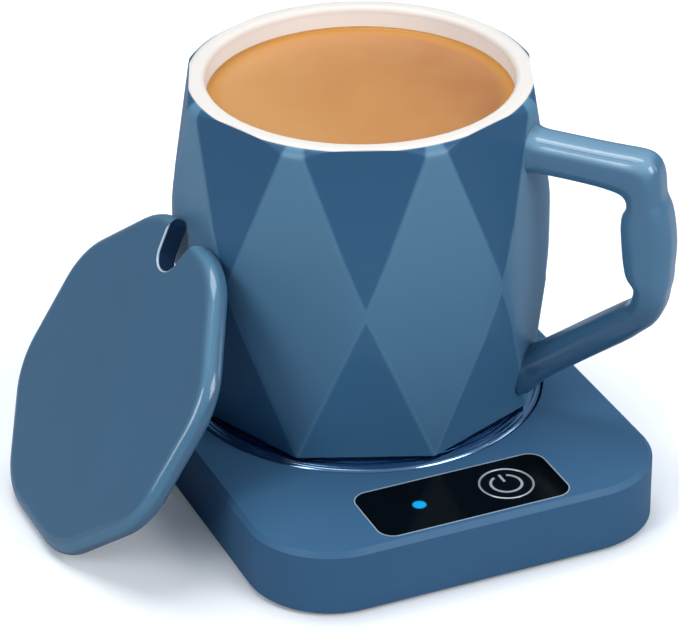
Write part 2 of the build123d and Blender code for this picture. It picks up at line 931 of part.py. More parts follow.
nodes = {
    "top_housing": make_top_housing,
    "bottom_cover": make_bottom_cover,
    "rubber_feet": make_rubber_feet,
    "cover_screws": make_cover_screws,
    "cord_gland": make_cord_gland,
    "heating_plate": make_heating_plate,
    "plate_gasket": make_plate_gasket,
    "heater_element": make_heater_element,
    "insulation_pad": make_insulation_pad,
    "heater_clamp": make_heater_clamp,
    "clamp_screws": make_clamp_screws,
    "heater_terminals": make_heater_terminals,
    "thermal_fuse": make_thermal_fuse,
    "thermistor": make_thermistor,
    "heater_leads": make_heater_leads,
    "sensor_lead": make_sensor_lead,
    "control_board": make_control_board,
    "board_screws": make_board_screws,
    "tact_switch": make_tact_switch,
    "status_led": make_status_led,
    "control_chip": make_control_chip,
    "filter_capacitor": make_filter_capacitor,
    "power_triac": make_power_triac,
    "cord_terminal": make_cord_terminal,
    "panel_bezel": make_panel_bezel,
    "panel_glass": make_panel_glass,
    "button_ring": make_button_ring,
    "light_pipe": make_light_pipe,
    "power_button": make_power_button,
    "power_symbol": make_power_symbol,
    "switch_plunger": make_switch_plunger,
    "mug": make_mug,
    "mug_lid": make_lid,
}

shapes = {name: make() for name, make in nodes.items()}
whole = Compound(list(shapes.values())).bounding_box()
to_origin = Pos(-whole.center().X, -whole.center().Y, -whole.min.Z)

os.makedirs("parts", exist_ok=True)
for name, shape in shapes.items():
    export_step(to_origin * shape, f"parts/{name}.step")
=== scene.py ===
"""Looks of a mug warmer set: the warmer, its faceted mug and the mug's lid."""

import logging
import math
from dataclasses import dataclass, field
from enum import Enum
from functools import cache
from typing import Any, Callable, Sequence

import bmesh
import bpy
from mathutils import Matrix, Vector

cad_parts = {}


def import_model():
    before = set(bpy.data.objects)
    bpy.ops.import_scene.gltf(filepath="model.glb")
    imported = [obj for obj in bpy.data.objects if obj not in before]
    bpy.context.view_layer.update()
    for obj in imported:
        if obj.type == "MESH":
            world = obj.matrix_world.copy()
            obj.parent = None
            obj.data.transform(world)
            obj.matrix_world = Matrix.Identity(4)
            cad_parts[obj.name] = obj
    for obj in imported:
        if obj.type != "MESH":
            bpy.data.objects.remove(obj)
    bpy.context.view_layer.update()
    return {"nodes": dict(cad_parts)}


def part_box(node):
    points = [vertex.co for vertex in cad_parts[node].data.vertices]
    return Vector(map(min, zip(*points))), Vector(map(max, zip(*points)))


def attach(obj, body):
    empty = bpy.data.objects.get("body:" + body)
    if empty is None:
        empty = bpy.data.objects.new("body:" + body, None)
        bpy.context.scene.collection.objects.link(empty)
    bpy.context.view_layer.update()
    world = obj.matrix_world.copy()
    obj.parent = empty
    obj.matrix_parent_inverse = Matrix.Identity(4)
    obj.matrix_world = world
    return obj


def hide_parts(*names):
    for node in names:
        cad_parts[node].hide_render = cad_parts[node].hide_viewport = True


LOG = logging.getLogger("mug_warmer")
UP = Vector((0.0, 0.0, 1.0))
TINY = 1e-6
FOOT_ROUND = 0.0006
NOISE_RANGE = (0.2, 0.8)
STRAY_SCALE = 60.0

Pair = tuple[float, float]
Spot = tuple[float, float, float]
Colour = tuple[float, float, float, float]
Piece = bpy.types.Object
Socket = bpy.types.NodeSocket


# ---- modelling steps --------------------------------------------------------------


class Part(Enum):
    """What an edit-mode selection is made of."""

    POINT = "VERT"
    EDGE = "EDGE"
    FACE = "FACE"


class Join(Enum):
    """What a boolean does with its tool."""

    CUT = "DIFFERENCE"
    ADD = "UNION"


def put_down() -> None:
    """Leaves edit mode and deselects every object."""
    if bpy.context.object and bpy.context.object.mode != "OBJECT":
        bpy.ops.object.mode_set(mode="OBJECT")
    bpy.ops.object.select_all(action="DESELECT")


def pick_up(piece: Piece) -> None:
    """Makes a piece the only selected and the active one.

    Args:
        piece: The object to work on.
    """
    put_down()
    piece.select_set(True)
    bpy.context.view_layer.objects.active = piece


def open_up(piece: Piece) -> None:
    """Opens a piece in edit mode with nothing selected.

    Args:
        piece: The object to work on.
    """
    pick_up(piece)
    bpy.ops.object.mode_set(mode="EDIT")
    bpy.ops.mesh.select_all(action="DESELECT")


def take_all() -> None:
    """Selects the whole open mesh."""
    bpy.ops.mesh.select_all(action="SELECT")


def close_up() -> None:
    """Turns the open mesh's faces outwards and leaves edit mode."""
    take_all()
    bpy.ops.mesh.normals_make_consistent(inside=False)
    put_down()


def settle(piece: Piece) -> None:
    """Puts a piece's place into its mesh, so that its object sits at the origin."""
    pick_up(piece)
    bpy.ops.object.transform_apply(location=True, rotation=True, scale=True)


def pick(part: Part, test: Callable[[Any], bool]) -> None:
    """Selects points, edges or faces of the open mesh, and nothing else.

    Args:
        part: What to select.
        test: Says of a mesh element whether it is wanted.
    """
    bpy.ops.mesh.select_all(action="DESELECT")
    bpy.ops.mesh.select_mode(type=part.value)
    data = bpy.context.object.data
    mesh = bmesh.from_edit_mesh(data)
    for item in {Part.POINT: mesh.verts, Part.EDGE: mesh.edges, Part.FACE: mesh.faces}[part]:
        if test(item):
            item.select_set(True)
    bmesh.update_edit_mesh(data)


def midpoint(item: Any) -> Vector:
    """Middle of an edge or a face."""
    return sum((point.co for point in item.verts), Vector()) / len(item.verts)


def round_start(name: str, radius: float, sides: int, centre: Vector) -> Piece:
    """Adds an open circle and opens it, all selected.

    Args:
        name: Name of the new piece.
        radius: Radius of the circle.
        sides: Number of its points.
        centre: Its centre.

    Returns:
        The new piece, in edit mode.
    """
    put_down()
    bpy.ops.mesh.primitive_circle_add(
        vertices=sides, radius=radius, fill_type="NOTHING", location=centre
    )
    piece = bpy.context.object
    piece.name = piece.data.name = name
    settle(piece)
    open_up(piece)
    take_all()
    return piece


def draw_out(centre: Vector, move: Vector, scale: float = 1.0, turn: float = 0.0) -> None:
    """Extrudes the open, selected loop and moves, scales and turns the new one.

    Args:
        centre: Point that scaling and turning keep in place, before the move.
        move: How far the new loop moves.
        scale: Its growth across the vertical axis.
        turn: Its turn about the vertical axis.
    """
    bpy.ops.mesh.extrude_region_move(TRANSFORM_OT_translate={"value": move})
    place = centre + move
    if scale != 1.0:
        bpy.ops.transform.resize(value=(scale, scale, 1.0), center_override=place)
    if turn:
        bpy.ops.transform.rotate(value=turn, orient_axis="Z", center_override=place)


def lathe(name: str, centre: Vector, profile: Sequence[Pair], sides: int, closed: bool) -> Piece:
    """Builds a round piece ring by ring along a profile.

    Args:
        name: Name of the new piece.
        centre: Point of the upright axis at height 0.
        profile: Radius and height of each ring. A radius of 0 closes the piece there.
        sides: Number of points round the axis.
        closed: Joins the last ring to the first.

    Returns:
        The new piece at the origin, with its place in its mesh.
    """
    rings = [(max(radius, TINY), height) for radius, height in profile]
    last, level = rings[0]
    piece = round_start(name, last, sides, centre + UP * level)
    for radius, height in rings[1:]:
        draw_out(centre + UP * level, UP * (height - level), radius / last)
        last, level = radius, height
    take_all()
    bpy.ops.mesh.remove_doubles(threshold=4 * TINY)
    if closed:
        pick(Part.EDGE, lambda edge: edge.is_boundary)
        bpy.ops.mesh.bridge_edge_loops()
    close_up()
    return piece


def loft(name: str, rings: Sequence[Sequence[Spot]]) -> Piece:
    """Builds a closed piece ring by ring through given outlines.

    Args:
        name: Name of the new piece.
        rings: Outlines with the same number of points each.

    Returns:
        The new piece, with both ends closed.
    """
    piece = round_start(name, 0.01, len(rings[0]), Vector())
    mesh = bmesh.from_edit_mesh(piece.data)
    for point, place in zip(mesh.verts, rings[0]):
        point.co = place
    for before, after in zip(rings, rings[1:]):
        draw_out(Vector(), Vector())
        mesh = bmesh.from_edit_mesh(piece.data)
        for point in (v for v in mesh.verts if v.select):
            gaps = [(point.co - Vector(place)).length for place in before]
            point.co = after[gaps.index(min(gaps))]
        bmesh.update_edit_mesh(piece.data)
    for ring in (rings[0], rings[-1]):
        level = ring[0][2]
        pick(Part.EDGE, lambda e: e.is_boundary and abs(midpoint(e).z - level) < TINY / 10)
        bpy.ops.mesh.edge_face_add()
    close_up()
    return piece


def finish_with(piece: Piece, kind: str, **settings: Any) -> None:
    """Adds a modifier and applies it.

    Args:
        piece: The object to work on.
        kind: The modifier's type.
        **settings: Its settings.
    """
    pick_up(piece)
    modifier = piece.modifiers.new("step", kind)
    for key, value in settings.items():
        setattr(modifier, key, value)
    bpy.ops.object.modifier_apply(modifier=modifier.name)


def combine(piece: Piece, tool: Piece, join: Join = Join.CUT) -> None:
    """Cuts a tool out of a piece, or adds it, and removes the tool."""
    finish_with(piece, "BOOLEAN", object=tool, operation=join.value, solver="EXACT")
    bpy.data.meshes.remove(tool.data)


def smooth(piece: Piece, angle: float) -> None:
    """Shades a piece smooth up to an angle, with its large faces kept flat.

    Args:
        piece: The object to shade.
        angle: Degrees between faces above which an edge stays sharp.
    """
    pick_up(piece)
    bpy.ops.object.shade_smooth_by_angle(angle=math.radians(angle))
    finish_with(piece, "WEIGHTED_NORMAL", keep_sharp=True, weight=80)
    put_down()


def arc(centre: Pair, radius: float, start: float, end: float, steps: int) -> list[Pair]:
    """Points of an arc from one angle in degrees to another, both ends with them."""
    angles = [math.radians(start + (end - start) * i / steps) for i in range(steps + 1)]
    return [(centre[0] + radius * math.cos(a), centre[1] + radius * math.sin(a)) for a in angles]


def footing(
    name: str, centre: Vector, outer: float, width: float, low: float, top: float, sides: int
) -> Piece:
    """Builds an upright ring with rounded lower edges.

    Args:
        name: Name of the new piece.
        centre: Point of its axis at height 0.
        outer: Its outer radius.
        width: Its width.
        low: Height of its lower face.
        top: Height of its upper face.
        sides: Number of points round the axis.

    Returns:
        The ring.
    """
    inner, r = outer - width, FOOT_ROUND
    profile = [(inner, top), *arc((inner + r, low + r), r, 180, 270, 4)]
    profile += [*arc((outer - r, low + r), r, 270, 360, 4), (outer, top)]
    return lathe(name, centre, profile, sides, closed=True)


def standing(place: Vector, across: Vector, up: Vector, out: Vector) -> Matrix:
    """Turn and place of something whose own three directions are given."""
    return Matrix.Translation(place) @ Matrix((across, up, out)).transposed().to_4x4()


# ---- material steps ---------------------------------------------------------------


def paint(red: int, green: int, blue: int) -> Colour:
    """Turns a screen colour, 0 to 255, into the linear one that shaders take."""
    channels = (value / 255 for value in (red, green, blue))
    return (*(c / 12.92 if c <= 0.04045 else ((c + 0.055) / 1.055) ** 2.4 for c in channels), 1.0)


class Wiring:
    """Adds and joins the nodes of one material or group."""

    def __init__(self, tree: bpy.types.NodeTree) -> None:
        """Starts on an empty tree."""
        self.tree = tree
        tree.nodes.clear()

    def feed(self, socket: Socket, value: Any) -> None:
        """Links a socket to another, or sets its value.

        Args:
            socket: The input.
            value: An output socket or a plain value.
        """
        if isinstance(value, Socket):
            self.tree.links.new(value, socket)
        else:
            socket.default_value = value

    def node(self, kind: str, inputs: dict[Any, Any], **settings: Any) -> bpy.types.Node:
        """Adds a node.

        Args:
            kind: The node's type, without its prefix.
            inputs: What feeds its inputs, by name or number.
            **settings: Its settings.

        Returns:
            The new node.
        """
        node = self.tree.nodes.new(f"ShaderNode{kind}")
        for key, value in settings.items():
            setattr(node, key, value)
        for key, value in inputs.items():
            self.feed(node.inputs[key], value)
        return node

    def math(self, operation: str, *values: Any) -> Socket:
        """Result of one sum."""
        return self.node("Math", dict(enumerate(values)), operation=operation).outputs[0]

    def blend(self, factor: Any, first: Any, second: Any) -> Socket:
        """Two colours mixed, the factor being the share of the second."""
        return self.node("Mix", {0: factor, 6: first, 7: second}, data_type="RGBA").outputs[2]

    def span(self, *values: Any) -> Socket:
        """A value's range, mapped onto 0 to 1 or a given range and held at both ends."""
        inputs = dict(enumerate(values))
        return self.node("MapRange", inputs, interpolation_type="SMOOTHSTEP").outputs[0]

    def split(self, vector: Socket) -> Any:
        """A vector's three numbers."""
        return self.node("SeparateXYZ", {0: vector}).outputs

    def reach(self, x: Socket, y: Socket) -> Socket:
        """Distance from the upright axis."""
        square = self.math("ADD", self.math("MULTIPLY", x, x), self.math("MULTIPLY", y, y))
        return self.math("SQRT", square)

    def noise(self, vector: Any, scale: Any, detail: float = 2.0, stir: float = 0.0) -> Socket:
        """Noise from 0 to 1."""
        inputs = {"Vector": vector, "Scale": scale, "Detail": detail, "Distortion": stir}
        return self.node("TexNoise", inputs).outputs[0]

    def place(self, centre: Vector | None = None) -> Socket:
        """Object coordinates, measured from a centre.

        Args:
            centre: The point that becomes zero.

        Returns:
            The coordinates.
        """
        source = self.node("TexCoord", {}).outputs["Object"]
        if centre is None:
            return source
        return self.node("Mapping", {"Vector": source, "Location": -centre}).outputs[0]

    def use(self, group: bpy.types.NodeTree, **inputs: Any) -> Any:
        """Outputs of a shared group that is fed with inputs."""
        return self.node("Group", inputs, node_tree=group).outputs


def start_group(
    name: str, inputs: Sequence[str], outputs: Sequence[str]
) -> tuple[Wiring, Any, Any]:
    """Starts a group that several finishes share.

    Args:
        name: The group's name.
        inputs: Names of its inputs. One called Vector is a vector.
        outputs: Names of its outputs.

    Returns:
        The wiring, what comes in and what goes out.
    """
    tree = bpy.data.node_groups.new(name, "ShaderNodeTree")
    for socket in inputs:
        kind = "NodeSocketVector" if socket == "Vector" else "NodeSocketFloat"
        tree.interface.new_socket(socket, in_out="INPUT", socket_type=kind)
    for socket in outputs:
        tree.interface.new_socket(socket, in_out="OUTPUT", socket_type="NodeSocketFloat")
    w = Wiring(tree)
    return w, tree.nodes.new("NodeGroupInput").outputs, tree.nodes.new("NodeGroupOutput").inputs


@cache
def grain_group() -> bpy.types.NodeTree:
    """Fine moulded or fired grain, with slow patches of tone.

    Returns:
        The group: Height of the grain and Tone of the patches.
    """
    w, source, result = start_group("grain", ("Vector", "Fineness", "Patches"), ("Height", "Tone"))
    w.feed(result["Height"], w.noise(source["Vector"], source["Fineness"], detail=3.0))
    w.feed(result["Tone"], w.span(w.noise(source["Vector"], source["Patches"]), *NOISE_RANGE))
    return w.tree


@cache
def turning_group() -> bpy.types.NodeTree:
    """Rings that a turning tool leaves about the vertical axis.

    Returns:
        The group: Height of the rings.
    """
    w, source, result = start_group("turning", ("Vector", "Pitch", "Waver"), ("Height",))
    x, y, _ = w.split(source["Vector"])
    stray = w.math("MULTIPLY", w.noise(source["Vector"], STRAY_SCALE), source["Waver"])
    phase = w.math("ADD", w.math("DIVIDE", w.reach(x, y), source["Pitch"]), stray)
    wave = w.math("SINE", w.math("MULTIPLY", phase, 2 * math.pi))
    w.feed(result["Height"], w.math("MULTIPLY_ADD", wave, 0.5, 0.5))
    return w.tree


class Surface(Wiring):
    """Wiring of a material, with its shader and its coordinates."""

    shader: bpy.types.Node
    spot: Socket

    def set(self, name: str, value: Any) -> None:
        """Feeds one of the shader's inputs."""
        self.feed(self.shader.inputs[name], value)


@dataclass(frozen=True)
class Finish:
    """A plain finish: one colour with grain, patches of tone and its own gloss."""

    name: str
    colour: Colour
    roughness: float
    metallic: float = 0.0
    coat: float = 0.0
    coat_roughness: float = 0.1
    specular: float = 0.5
    fineness: float = 1500.0
    grain: float = 0.05
    grain_depth: float = 0.0001
    patches: float = 25.0
    mottle: float = 0.08
    uneven: float = 0.06
    centre: Vector | None = None

    def material(self) -> bpy.types.Material:
        """Builds the material.

        Returns:
            The material, ready for a slot.
        """
        made = bpy.data.materials.new(self.name)
        made.use_nodes = True
        s = Surface(made.node_tree)
        s.shader = s.node("BsdfPrincipled", {
            "Metallic": self.metallic, "Specular IOR Level": self.specular,
            "Coat Weight": self.coat, "Coat Roughness": self.coat_roughness,
        })
        s.node("OutputMaterial", {"Surface": s.shader.outputs[0]})
        s.spot = s.place(self.centre)
        s.set("Base Color", self.tint(s))
        self.gloss(s)
        return made

    def grained(self, s: Surface) -> Any:
        """Outputs of the shared grain, with this finish's values."""
        return s.use(grain_group(), Vector=s.spot, Fineness=self.fineness, Patches=self.patches)

    def tint(self, s: Surface) -> Socket:
        """Wires the colour: here the one colour, a little darker and lighter.

        Args:
            s: The material's wiring.

        Returns:
            The colour.
        """
        dark = (*(c * (1 - self.mottle / 2) for c in self.colour[:3]), 1.0)
        light = (*(min(1.0, c * (1 + self.mottle / 2)) for c in self.colour[:3]), 1.0)
        return s.blend(self.grained(s)["Tone"], dark, light)

    def relief(self, s: Surface) -> tuple[Socket, Socket]:
        """What varies the roughness and what raises the bump."""
        grain = self.grained(s)
        return grain["Tone"], grain["Height"]

    def gloss(self, s: Surface) -> None:
        """Feeds the roughness and the bump.

        Args:
            s: The material's wiring.
        """
        mask, height = self.relief(s)
        low, high = self.roughness - self.uneven / 2, self.roughness + self.uneven / 2
        s.set("Roughness", s.span(mask, 0.0, 1.0, low, high))
        bump = {"Height": height, "Strength": self.grain, "Distance": self.grain_depth}
        s.set("Normal", s.node("Bump", bump).outputs[0])


@dataclass(frozen=True, kw_only=True)
class FacetGlaze(Finish):
    """The mug's glaze: blue, lighter on the diamonds, and cream inside and on the rim.

    The diamonds reach from the widest level, the middle, so far above and below it.
    Both blues change with height as painted light and shade, and the cream inside is
    painted whiter deeper down as painted light.
    """

    rim: float
    middle: float
    above: float
    below: float
    half_width: float
    sector: float
    # painted light: the triangles' blue lower down, lighter where less light reaches
    low: Colour = paint(67, 112, 145)
    diamond: Colour = paint(98, 141, 167)
    # painted shade: the diamonds' blue lower down, darker
    diamond_painted_shade: Colour = paint(76, 118, 149)
    edge: Colour = paint(104, 146, 173)
    edge_share: float = 0.4
    edge_width: float = 0.0009
    edge_fade: float = 0.0006
    cream: Colour = paint(244, 236, 226)
    # painted light: the inside wall's cream, whiter deeper down where less light reaches
    cream_painted_whiter: Colour = paint(254, 255, 254)
    inside_radius: float = 0.0404
    inside_fade: float = 0.0002
    inside_from: Pair = (0.0006, 0.0022)
    lip_depth: float = 0.0004
    lip_fade: float = 0.0001

    def tint(self, s: Surface) -> Socket:
        """Wires the blues and the creams.

        Args:
            s: The material's wiring.

        Returns:
            The colour.
        """
        x, y, z = s.split(s.spot)
        reach = s.reach(x, y)
        turn = s.math("DIVIDE", s.math("ARCTAN2", y, x), self.sector)
        off = s.math("MULTIPLY", s.math("SUBTRACT", turn, s.math("ROUND", turn)), self.sector)
        across = s.math("ABSOLUTE", s.math("MULTIPLY", reach, s.math("SINE", off)))
        rise = s.math("SUBTRACT", z, self.middle)
        upper, lower = s.math("DIVIDE", rise, self.above), s.math("DIVIDE", rise, -self.below)
        share = s.math("SUBTRACT", 1.0, s.math("MAXIMUM", upper, lower))
        spare = s.math("SUBTRACT", s.math("MULTIPLY", share, self.half_width), across)
        # painted light and shade by height: the upper colours at the top, the lower ones at the
        # bottom
        painted_light_by_height = s.span(rise, self.above, -self.below)
        plain = s.blend(painted_light_by_height, self.colour, self.low)
        diamond = s.blend(painted_light_by_height, self.diamond, self.diamond_painted_shade)
        blue = s.blend(s.span(spare, -self.edge_fade, self.edge_fade), plain, diamond)
        line = s.span(s.math("ABSOLUTE", spare), 0.0, self.edge_width, self.edge_share, 0.0)
        blue = s.blend(line, blue, self.edge)
        level = self.rim - self.lip_depth
        lip = s.span(z, level - self.lip_fade, level + self.lip_fade)
        inside = s.span(reach, self.inside_radius, self.inside_radius - self.inside_fade)
        start, end = self.inside_from
        # the inside wall's cream turns whiter downwards as painted light
        wall = s.blend(s.span(z, self.rim - start, self.rim - end), self.cream, self.cream_painted_whiter)
        return s.blend(inside, s.blend(lip, blue, self.cream), wall)


@dataclass(frozen=True, kw_only=True)
class SidedGlaze(Finish):
    """Glaze with a second colour painted where the piece is turned from one direction.

    The second colour starts, is full, still is full and ends at four cosines. It is a
    painted highlight on the handle, and on the lid a lighter rim that is partly a painted
    highlight. Where a low colour is given, the glaze turns to it from the upper level to
    the lower one, as painted shade.
    """

    facing: Sequence[float]
    turned: tuple[float, float, float, float]
    sided: Colour
    low: Colour | None = None
    levels: Pair = (0.0, 0.0)

    def tint(self, s: Surface) -> Socket:
        """Wires the two or three colours.

        Args:
            s: The material's wiring.

        Returns:
            The colour.
        """
        sides = {0: s.node("TexCoord", {}).outputs["Normal"], 1: self.facing}
        cosine = s.node("VectorMath", sides, operation="DOT_PRODUCT").outputs["Value"]
        start, full, still, end = self.turned
        # mask of the second colour by which way the surface faces: painted highlight on the
        # handle, a lighter rim that is partly painted highlight on the lid
        mask = s.math("MULTIPLY", s.span(cosine, start, full), s.span(cosine, end, still))
        colour = s.blend(mask, super().tint(s), self.sided)
        # painted shade: the low colour lower down
        if self.low:
            colour = s.blend(s.span(s.split(s.spot)[2], *self.levels), self.low, colour)
        return colour


@dataclass(frozen=True)
class TurnedMetal(Finish):
    """Lathe-turned metal with fine rings about an upright axis."""

    grain: float = 0.3
    grain_depth: float = 0.00005
    pitch: float = 0.0006
    waver: float = 0.2

    def relief(self, s: Surface) -> tuple[Socket, Socket]:
        """The turned rings, for both."""
        rings = s.use(turning_group(), Vector=s.spot, Pitch=self.pitch, Waver=self.waver)["Height"]
        return rings, rings


@dataclass(frozen=True)
class MilkCoffee(Finish):
    """The drink: tan, with faint swirls of milk, painted shade on one side, painted light on the
    other and a warmer edge.
    """

    radius: float = 0.0388
    edge: Colour = paint(206, 142, 60)
    edge_from: float = 0.005
    edge_full: float = 0.0004
    # milk colour, also used as painted light on one side
    milk_and_painted_light: Colour = paint(217, 160, 94)
    # painted shade on one side of the drink
    deep: Colour = paint(173, 106, 57)
    side_share: float = 0.8
    milk_share: float = 0.4
    swirl_scale: float = 40.0
    swirl_stir: float = 0.4

    def tint(self, s: Surface) -> Socket:
        """Wires the drink's two sides, painted shade on one and painted light on the other, its
        milk swirls and its edge.

        Args:
            s: The material's wiring.

        Returns:
            The colour.
        """
        x, y, _ = s.split(s.spot)
        # painted shade: darker towards one side
        body = s.blend(s.span(x, 0.0, self.radius, 0.0, self.side_share), self.colour, self.deep)
        # painted light: lighter towards the other side, in the milk colour
        body = s.blend(s.span(x, 0.0, -self.radius, 0.0, self.side_share), body, self.milk_and_painted_light)
        swirl = s.noise(s.spot, self.swirl_scale, stir=self.swirl_stir)
        body = s.blend(s.span(swirl, *NOISE_RANGE, 0.0, self.milk_share), body, self.milk_and_painted_light)
        rim = s.span(s.reach(x, y), self.radius - self.edge_from, self.radius - self.edge_full)
        return s.blend(rim, body, self.edge)

    def gloss(self, s: Surface) -> None:
        """Sets one gloss all over, as a liquid has."""
        s.set("Roughness", self.roughness)


@dataclass(frozen=True)
class LitLens(Finish):
    """The status light's clear pipe, lit from below and softer towards its edge."""

    radius: float = 0.00185
    core: float = 0.7
    edge_share: float = 0.25
    glow: Colour = paint(0, 176, 240)
    dark: Colour = (0.0, 0.02, 0.04, 1.0)
    strength: float = 0.8

    def gloss(self, s: Surface) -> None:
        """Feeds the glow, the roughness and the bump.

        Args:
            s: The material's wiring.
        """
        x, y, _ = s.split(s.spot)
        bright = s.span(s.reach(x, y), self.radius * self.core, self.radius, 1.0, self.edge_share)
        s.set("Emission Color", s.blend(bright, self.dark, self.glow))
        s.set("Emission Strength", self.strength)
        super().gloss(s)


# ---- pieces -----------------------------------------------------------------------


def centre_of(node: str) -> Vector:
    """Middle of a node's footprint, at height 0."""
    low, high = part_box(node)
    return Vector(((low.x + high.x) / 2, (low.y + high.y) / 2, 0.0))


@dataclass
class Maker:
    """A sub-assembly about an upright axis, which builds one piece and dresses it."""

    axis: Vector = field(default_factory=lambda: centre_of("heating_plate"))

    def build(self) -> Piece:
        """Builds the piece and hangs it on its body."""
        raise NotImplementedError

    def finish(self) -> Finish:
        """The piece's finish."""
        raise NotImplementedError

    def dress(self, piece: Piece) -> None:
        """Gives the piece its finish."""
        piece.data.materials.append(self.finish().material())

    def make(self) -> None:
        """Builds and dresses the piece, and reports it."""
        piece = self.build()
        self.dress(piece)
        LOG.info("built %s", piece.name)


# ---- warmer -----------------------------------------------------------------------


@dataclass
class HeatingPlate(Maker):
    """Spun metal plate with a rounded bright edge and fine turned ridges."""

    radius: float = 0.0476
    thickness: float = 0.002
    lip: float = 0.0008
    lip_width: float = 0.0034
    edge: float = 0.0013
    bead_outer: float = 0.0462
    bead_inner: float = 0.0428
    ridge_from: float = 0.0376
    ridge_pitch: float = 0.0011
    ridge_share: float = 0.9
    groove: float = 0.0006
    ridge: float = 0.00012
    inner_step: float = 0.0005
    sides: int = 192

    def build(self) -> Piece:
        """Spins the plate.

        Returns:
            The plate, riding on the warmer.
        """
        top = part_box("heating_plate")[1].z
        step, under = self.radius - self.lip_width, top - self.thickness
        profile = [(0.0, under), (step, under), (step, under - self.lip)]
        profile += [(self.radius, under - self.lip)]
        profile += arc((self.radius - self.edge, top - self.edge), self.edge, 0, 90, 8)
        profile += self.bead(top, self.bead_outer, self.bead_inner, self.groove)
        for number in range(int((self.bead_inner - self.ridge_from) / self.ridge_pitch)):
            outer = self.bead_inner - number * self.ridge_pitch
            inner = outer - self.ridge_pitch * self.ridge_share
            profile += self.bead(top, outer, inner, self.ridge)
        profile += [(self.ridge_from - self.inner_step, top), (0.0, top)]
        plate = lathe("hot_plate", self.axis, profile, self.sides, closed=False)
        smooth(plate, 40)
        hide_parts("heating_plate")
        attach(plate, "warmer_base")
        return plate

    def bead(self, top: float, outer: float, inner: float, depth: float) -> list[Pair]:
        """Crowned ring from its outer radius in, whose sides fall by a depth."""
        shares = [step / 8 for step in range(9)]
        return [(outer + (inner - outer) * s, top - depth * (2 * s - 1) ** 2) for s in shares]

    def finish(self) -> Finish:
        """Blue turned metal."""
        blue = paint(138, 174, 208)
        return TurnedMetal("plate_metal", blue, 0.16, metallic=1.0, centre=self.axis)


@dataclass
class ButtonRing(Maker):
    """Bright ring round the button, rounded over its top."""

    axis: Vector = field(default_factory=lambda: centre_of("button_ring"))
    radius: float = 0.00715
    width: float = 0.00055
    round_over: float = 0.00022
    sides: int = 96

    def build(self) -> Piece:
        """Turns the ring.

        Returns:
            The ring, riding on the warmer.
        """
        low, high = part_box("button_ring")
        inner, r = self.radius - self.width, self.round_over
        profile = [(inner, low.z), (self.radius, low.z)]
        profile += arc((self.radius - r, high.z - r), r, 0, 90, 5)
        profile += arc((inner + r, high.z - r), r, 90, 180, 5)
        ring = lathe("chrome_ring", self.axis, profile, self.sides, closed=True)
        smooth(ring, 40)
        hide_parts("button_ring")
        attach(ring, "warmer_base")
        return ring

    def finish(self) -> Finish:
        """Pale chrome."""
        return Finish("ring_chrome", paint(206, 208, 210), 0.3, metallic=0.5)


class Warmer:
    """The warmer: its plate and ring, and finishes for the pieces that stay."""

    def build(self) -> None:
        """Makes the warmer's new pieces."""
        for maker in (HeatingPlate(), ButtonRing()):
            maker.make()

    def finishes(self) -> tuple[Finish, ...]:
        """Chooses the finishes of the pieces that stay.

        Returns:
            The finishes, each named as its material slot.
        """
        return (
            Finish("housing_blue", paint(63, 104, 138), 0.42, specular=0.25),
            Finish("cover_grey", paint(52, 56, 62), 0.6, grain=0.3),
            Finish("foot_rubber", paint(34, 35, 38), 0.85, grain=0.4),
            Finish("screw_steel", paint(176, 178, 182), 0.34, metallic=1.0),
            Finish("gland_rubber", paint(28, 30, 34), 0.7, grain=0.3),
            Finish("gasket_silicone", paint(196, 84, 60), 0.6),
            Finish("mica", paint(176, 150, 104), 0.45, patches=200, mottle=0.4),
            Finish("fibre_pad", paint(226, 224, 214), 0.95, grain=1.0, mottle=0.2),
            Finish("clamp_steel", paint(168, 170, 172), 0.4, metallic=1.0),
            Finish("tab_brass", paint(196, 160, 84), 0.32, metallic=1.0),
            Finish("fuse_case", paint(198, 200, 204), 0.3, metallic=1.0),
            Finish("bead_epoxy", paint(44, 52, 44), 0.35),
            Finish("lead_sleeve", paint(232, 228, 214), 0.75, grain=0.5),
            Finish("sensor_sleeve", paint(210, 206, 190), 0.75, grain=0.5),
            Finish("board_green", paint(26, 92, 56), 0.4, patches=300, mottle=0.25),
            Finish("switch_black", paint(24, 24, 26), 0.5),
            Finish("led_cream", paint(238, 232, 210), 0.4),
            Finish("chip_black", paint(22, 22, 24), 0.6, grain=0.3),
            Finish("capacitor_yellow", paint(222, 178, 42), 0.4),
            Finish("terminal_green", paint(40, 128, 76), 0.45),
            Finish("bezel_chrome", paint(196, 212, 222), 0.35, metallic=0.4),
            Finish("panel_black", paint(2, 3, 4), 0.12, specular=0.15, grain=0.0),
            LitLens("light_cyan", paint(0, 90, 130), 0.25, centre=centre_of("light_pipe")),
            Finish("button_black", paint(4, 4, 6), 0.14, specular=0.2, grain=0.0),
            Finish("symbol_metal", paint(196, 196, 198), 0.4, metallic=0.3),
            Finish("plunger_white", paint(222, 222, 216), 0.5),
        )

    def repaint(self, nodes: dict[str, Piece]) -> None:
        """Gives the pieces that stay their finishes.

        The pieces that new ones stand for keep what they have.

        Args:
            nodes: The frame's nodes.
        """
        made = {finish.name: finish.material() for finish in self.finishes()}
        for name, piece in nodes.items():
            for slot in piece.material_slots:
                kind = slot.material.name.split(".")[0]
                if kind in made:
                    slot.material = made[kind]
                    LOG.info("painted %s with %s", name, kind)
                else:
                    LOG.info("%s keeps %s", name, kind)


# ---- mug --------------------------------------------------------------------------


